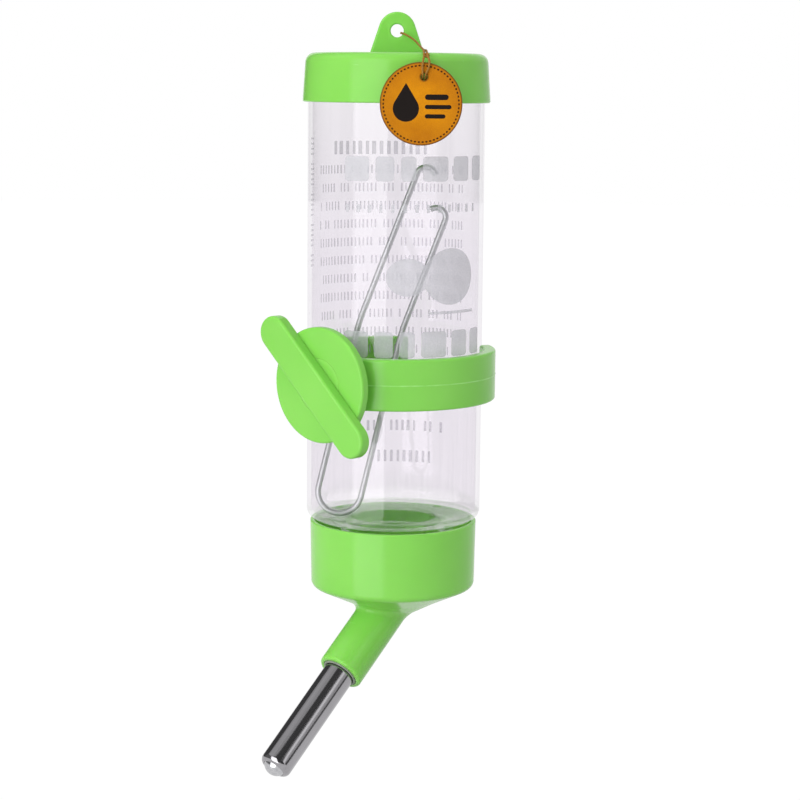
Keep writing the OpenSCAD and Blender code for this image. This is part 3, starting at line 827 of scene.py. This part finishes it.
def snout_shell():
    """The spout's neck, with a soft root where it leaves the cone, in the spout's frame."""
    outline = cup_outside()
    radii = [p[0] for p in outline][::-1]
    heights = [p[1] for p in outline][::-1]
    to_cup = on_axis.inverted() @ on_spout

    def surface(r, angle):
        """How far along the spout a line at that radius and angle leaves the cone."""
        low, high = -12.0, snout_l
        while high - low > 1e-10:
            t = (low + high) / 2
            p = to_cup @ Vector((r * math.cos(angle), r * math.sin(angle), t))
            inside = p.z > np.interp(math.hypot(p.x, p.y), radii, heights)
            low, high = (t, high) if inside else (low, t)
        return low

    steps = 96
    turns = [2 * PI * k / steps for k in range(steps)]
    near = [surface(snout_r, a) for a in turns]
    far = [surface(snout_r + root_round, a) for a in turns]
    buried = snout_r + root_round - 0.3
    rings = [[(0.5 * math.cos(a), 0.5 * math.sin(a), 3.0) for a in turns],
             [(buried * math.cos(a), buried * math.sin(a), far[k] - 1.2) for k, a in enumerate(turns)]]
    for s in np.linspace(0, 1, 11):
        ring = []
        for k, a in enumerate(turns):
            foot = Vector((snout_r + root_round, far[k] - 0.06))
            bend = Vector((snout_r, near[k]))
            top = Vector((snout_r, near[k] + root_round))
            p = foot.lerp(bend, s).lerp(bend.lerp(top, s), s)
            ring.append((p.x * math.cos(a), p.x * math.sin(a), p.y))
        rings.append(ring)
    lip_r = 0.75
    for share in (0.35, 0.7, 1.0):
        rings.append([(snout_r * math.cos(a), snout_r * math.sin(a),
                       (near[k] + root_round) * (1 - share) + (snout_l - lip_r) * share)
                      for k, a in enumerate(turns)])
    for b in np.linspace(0, PI / 2, 7)[1:]:
        r = snout_r - lip_r * (1 - math.cos(b))
        z = snout_l - lip_r * (1 - math.sin(b))
        rings.append([(r * math.cos(a), r * math.sin(a), z) for a in turns])
    return loft(rings)


def make_spout_cap():
    low_in = cup_r - 0.3 - cup_wall
    funnel_z, moat_z = ledge_z - 4.2, ledge_z + 0.8
    outside = cup_outside()
    inside = [(0, funnel_z), (4.6, funnel_z, 0.6), (8.8, ledge_z, 0.3), (sleeve_in, ledge_z)]
    sleeve = rows(sleeve_in, ledge_z + 0.3, sleeve_top - 0.4, 0.22)
    rest = [(sleeve_in, sleeve_top, 0.3), (sleeve_out, sleeve_top, 0.3), (sleeve_out, moat_z, 0.7),
            (low_in, moat_z, 1.2), (cup_r - cup_wall, cup_rim, 0.3)]
    profile = rounded(inside, 4) + sleeve
    profile += rounded([(sleeve_in, ledge_z)] + rest + outside, 8)[1:]

    turns, above, depth = 1.1, 1.3, 1.05

    def wave(r, z, angle):
        on = abs(r - sleeve_in) < 1e-6 and z > ledge_z + 0.2
        height = ridge(angle, z, thread_start, thread_z + above, thread_lead, turns, thread_half, thread_tip)
        return r - depth * height if on else r

    cup = piece("spout_moulding", [lathe(profile, 160, wave)], on_axis)
    combine(cup, "UNION", snout_shell(), on_spout)
    drain_r, drain_end, flare = 3.4, 9, 0.3
    bore = lathe([(0, -1), (drain_r, -1), (drain_r, drain_end), (snout_bore, drain_end + 0.02),
                  (snout_bore, snout_l - 0.2), (snout_bore + flare, snout_l + 0.1),
                  (snout_bore + flare, snout_l + 1), (0, snout_l + 1)], 96)
    combine(cup, "DIFFERENCE", bore, on_spout)
    return settle(cup, green, "screw_cap", ["spout_cap"])


def make_spout_parts():
    bush_start, gap = 12, 0.04
    bush = rounded([(tube_r + gap, bush_start, 0.1), (snout_bore - gap, bush_start, 0.1),
                    (snout_bore - gap, bush_end, 0.25), (tube_r + gap, bush_end, 0.1)], 4)
    settle(piece("tube_seal", [lathe(bush, 96)], on_spout), seal, "screw_cap", ["tube_bush"])

    lip_z, inner = tube_end - tube_roll, tube_r - tube_wall
    dip = -0.25
    groove = [(0, bush_end - 1.15), (dip, bush_end - 0.9), (dip, bush_end - 0.2), (0, bush_end + 0.05)]
    profile = [(inner, tube_start), (tube_r, tube_start)] + [(tube_r + r, z) for r, z in groove]
    profile += [(tube_r, z) for z in np.linspace(bush_end + 0.6, lip_z, 16)]
    roll_in = 1.25
    profile += [(tube_r - roll_in * (1 - math.cos(b)), lip_z + tube_roll * math.sin(b))
                for b in np.linspace(0.12, math.radians(86), 12)]
    profile += [(tube_mouth, tube_end), (tube_mouth, tube_end - 0.2), (tube_mouth + 0.25, tube_end - 0.5),
                (inner, lip_z - 0.25)] + [(inner + r, z) for r, z in reversed(groove)]
    settle(piece("steel_tube", [lathe(profile, 128)], on_spout), tube_steel, "screw_cap",
           ["drinking_tube"])

    hole, rim = 8.8, 13.55
    washer = rounded([(hole, gasket_low.z, 0.3), (rim, gasket_low.z, 0.3), (rim, gasket_high.z, 0.3),
                      (hole, gasket_high.z, 0.3)], 4)
    settle(piece("lip_gasket", [lathe(washer, 128)], on_axis), seal, "gasket", ["cap_gasket"])

    for name, body, node, low, high in (("tip_ball", "valve", "valve_ball", ball_low, ball_high),
                                        ("second_ball", "upper", "upper_ball", upper_low, upper_high)):
        profile = [(0, -ball_r)] + arc(0, 0, ball_r, -PI / 2, PI / 2, 48)[1:-1] + [(0, ball_r)]
        centre = Matrix.Translation((low + high) / 2)
        ball = piece(name, [lathe(profile, 96)], centre @ on_spout.to_3x3().to_4x4())
        settle(ball, ball_steel, body, [node])


make_spout_cap()
make_spout_parts()

# ---- The tag ----


def make_tag():
    back = Matrix.Translation(tag_at + Vector((0, tag_t / 2, 0)))
    upright = on_tab @ back @ Matrix.Rotation(PI / 2, 4, "X")
    profile = rounded([(0, 0), (tag_r, 0, 0.22), (tag_r, tag_t, 0.3), (0, tag_t)], 5)
    tag = piece("leather_tag", [lathe(profile, 128)], upright)
    hole = lathe([(0, -1), (tag_hole_r, -1), (tag_hole_r, tag_t + 1), (0, tag_t + 1)], 40)
    spot = Matrix.Translation((tag_hole.x - tag_at.x, tag_hole.z - tag_at.z, 0))
    combine(tag, "DIFFERENCE", hole, upright @ spot)
    settle(tag, leather, "tag", ["hang_tag"])

    count, ring = 62, tag_r * 0.915
    dash = rounded(box_corners(0.26, 0.19, 0.15), 3)
    stitches = []
    for i in range(count):
        a = 2 * PI * (i + 0.5) / count
        skew = Matrix.Rotation(math.radians(6 * math.sin(7 * i)), 4, "Z")
        for z in (-0.05, tag_t - 0.07):
            place = Matrix.Rotation(a, 4, "Z") @ Matrix.Translation((0, ring, z)) @ skew
            stitches.append(moved(plate(dash, 0.12, 0.05, 0.05, 2), place))
    settle(piece("tag_stitches", stitches, upright), stitch_thread, "tag")

    raised = 0.04
    face = Matrix.Translation((0, 0, tag_t - 0.02))
    drop = [(0, 6.2)] + arc(0, 0.2, 3.1, math.radians(28), math.radians(-208), 36)
    motif = [moved(plate(drop[::-1], raised, 0.01, 0.01, 1), face @ Matrix.Translation((-3.6, -1.3, 0)))]
    for x, y, length, height in ((0.9, 1.6, 5.6, 1.3), (0.9, -0.7, 6.3, 1.0), (0.9, -2.9, 4.9, 1.0)):
        r = height / 2
        stroke = arc(x + length - r, y, r, -PI / 2, PI / 2, 10) + arc(x + r, y, r, PI / 2, 3 * PI / 2, 10)
        motif.append(moved(plate(stroke, raised, 0.01, 0.01, 1), face))
    settle(piece("tag_motif", motif, upright), motif_ink, "tag")


make_tag()

# ---- Plain print on the bottle: bars and shapes with no lettering ----
per_mm = math.degrees(1 / bottle_r)


def film(angles, middle, half):
    """A thin film of ink on the bottle. At each angle it runs half above and below its middle height."""
    r0 = bottle_r + 0.004
    r1 = r0 + 0.02
    rings = []
    for a, h in zip(angles, half):
        x, y = math.sin(math.radians(a)), -math.cos(math.radians(a))
        low, high = middle - h, middle + h
        rings.append([(r * x, r * y, z) for r, z in ((r0, low), (r1, low), (r1, high), (r0, high))])
    return loft(rings)


def bar(a0, a1, z0, z1, r=0.25):
    """A bar with rounded ends from angle a0 to a1, in degrees, and height z0 to z1."""
    tall = (z1 - z0) / 2
    turns = np.linspace(0.15, PI / 2, 4)
    into = [r * per_mm * (1 - math.cos(b)) for b in turns]
    rise = [tall - r + r * math.sin(b) for b in turns]
    n = max(1, int((a1 - a0) / 3))
    flat = [a0 + into[-1] + (a1 - a0 - 2 * into[-1]) * k / n for k in range(1, n)]
    angles = [a0 + d for d in into] + flat + [a1 - d for d in into[::-1]]
    return film(angles, (z0 + z1) / 2, rise + [tall] * (n - 1) + rise[::-1])


def ticks(a0, a1, z, height, pitch, share, seed, gap=0.17):
    """A row of plain upright ticks in groups, from angle a0 to a1, centred on height z."""
    chance = np.random.default_rng(seed)
    row, a = [], a0
    while a < a1 - pitch * per_mm:
        width = pitch * share * chance.uniform(0.8, 1.25)
        row.append(bar(a, a + width * per_mm, z - height / 2, z + height / 2, min(0.16, width * 0.45)))
        a += pitch * per_mm * (2.1 if chance.random() < gap else 1)
    return row


def make_print():
    front = []
    for z0, z1 in ((49.4, 55.4), (6.8, 13.2)):
        a = -34.0
        for wide in (17, 12, 10, 18, 14, 12):
            front.append(bar(a, a + wide, z0, z1, 0.9))
            a += wide + 4
    front += ticks(-33, 71, 42.9, 2.0, 2.9, 0.3, 2, 0)

    def oval(a, middle, wide, tall):
        return tall * max(0, 1 - ((a - middle) / wide) ** 2) ** 0.5

    turns = [26 - 32.0 * math.cos(t) for t in np.linspace(0.05, PI - 0.05, 40)]
    front.append(film(turns, 26.4, [max(oval(a, 8, 14, 4.6), oval(a, 38, 20, 6.9)) for a in turns]))
    front.append(bar(22, 60, 17.3, 18.0, 0.3))
    settle(piece("front_print", front, on_tab), front_ink, "bottle")

    rear = ticks(159, 229, 56.2, 3.4, 1.9, 0.5, 3, 0)
    for i in range(11):
        rear += ticks(129, 243, 50.7 - 4.69 * i, 2.2, 1.1, 0.36, 10 + i)
    rear += ticks(145, 202, -16.6, 2.8, 1.5, 0.42, 31)
    rear += ticks(154, 194, -24.8, 3.1, 1.7, 0.42, 32)
    side = 250.5
    for i in range(26):
        z = 59 - 1.28 * i
        if i % 6 != 4:
            rear.append(bar(side, side + 2.2 * per_mm, z - 0.5, z, 0.15))
    settle(piece("rear_print", rear, on_tab), rear_ink, "bottle")


make_print()

# ---- Floor, light and world ----
floor_z = -460 * MM


def make_floor():
    """A pale floor, as bright as the background where it's seen, dimmer where it lights and mirrors."""
    points, faces = lathe([(0, 0), (9000, 0), (9000, -10), (0, -10)], 64)
    floor = piece("floor", [(points, faces)], Matrix.Translation((0, 0, floor_z / MM)))
    n = Nodes("pale_floor")
    path = n.add("LightPath").outputs
    seen = n.add("Math", operation="MAXIMUM")
    n.put(seen.inputs[0], path["Is Camera Ray"])
    n.put(seen.inputs[1], path["Is Transmission Ray"])
    seen = n.sum(seen.outputs[0], n.times(path["Is Glossy Ray"], 0.7))
    shade = n.blend(n.noise(3, 2), (0.03, 0.03, 0.03, 1), (0.04, 0.04, 0.04, 1))
    strength = n.spread(seen, 0.0, 1.0, floor_lights, 0.985)
    floor.data.materials.append(n.set(**{"Base Color": shade, "Roughness": 0.9, "Specular IOR Level": 0.0,
                                         "Emission Color": (1, 1, 1, 1), "Emission Strength": strength}))


def light(name, azimuth, elevation, distance, width, height, power):
    """A soft box that looks at the bottle. Azimuth is the angle to the right of the camera."""
    data = bpy.data.lights.new(name, "AREA")
    data.shape = "RECTANGLE"
    data.size, data.size_y, data.energy = width, height, power
    lamp = bpy.data.objects.new(name, data)
    bpy.context.scene.collection.objects.link(lamp)
    a, e = tab_turn + math.radians(azimuth), math.radians(elevation)
    back = Vector((math.sin(a) * math.cos(e), -math.cos(a) * math.cos(e), math.sin(e)))
    lamp.location = Vector((0, axis_y * MM, 0)) + back * distance
    lamp.rotation_euler = back.to_track_quat("Z", "Y").to_euler()


def make_world():
    """White behind the object, softer around it, and a dark room with pale panels for mirrors to show."""
    world = bpy.data.worlds.new("studio")
    bpy.context.scene.world = world
    world.use_nodes = True
    tree = world.node_tree
    background = tree.nodes["Background"]
    background.inputs["Color"].default_value = (1, 1, 1, 1)

    def node(kind, *values, **settings):
        made = tree.nodes.new("ShaderNode" + kind)
        for key, value in settings.items():
            setattr(made, key, value)
        for socket, value in zip(made.inputs, values):
            if isinstance(value, bpy.types.NodeSocket):
                tree.links.new(value, socket)
            elif value is not None:
                socket.default_value = value
        return made

    def mix(share, a, b):
        return node("Mix", share, None, a, b, data_type="FLOAT").outputs[0]

    def maths(operation, a, b=None):
        return node("Math", a, b, operation=operation).outputs[0]

    path = node("LightPath")
    seen = maths("MAXIMUM", path.outputs["Is Camera Ray"], path.outputs["Is Transmission Ray"])
    way = node("SeparateXYZ", node("TexCoord").outputs["Generated"])
    turn = maths("ARCTAN2", way.outputs["X"], maths("MULTIPLY", way.outputs["Y"], -1.0))

    def panel(azimuth, half, soft, strength):
        off = maths("SUBTRACT", turn, tab_turn + math.radians(azimuth))
        off = maths("ARCCOSINE", maths("COSINE", off))
        return node("MapRange", off, math.radians(half + soft), math.radians(half), 0.0, strength).outputs[0]

    room = room_dark
    for azimuth, half, soft, strength in room_panels:
        room = maths("ADD", panel(azimuth, half, soft, strength), room)
    shade = mix(path.outputs["Is Glossy Ray"], room_diffuse, room)
    tree.links.new(mix(seen, shade, 1.0), background.inputs["Strength"])


# What mirrors show of the room: a dark level, and pale panels. Each panel has its angle to the right of the
# camera, half its width, its soft edge and its strength.
room_dark = 0.08
room_panels = ((-90, 20, 8, 0.1), (57, 4, 1.5, 0.7), (122, 38, 6, 0.6), (180, 16, 4, 0.8))
room_diffuse, floor_lights = 0.72, 0.46
make_floor()
make_world()
light("key_box", -34, 10, 0.9, 0.76, 1.2, 7.0)
light("fill_box", 65, 25, 1.2, 0.5, 0.9, 0.7)
light("top_box", -88, 65, 1.0, 0.88, 0.88, 1.1)
bpy.context.scene.view_settings.view_transform = "Standard"
bpy.context.scene.cycles.transparent_max_bounces = 32
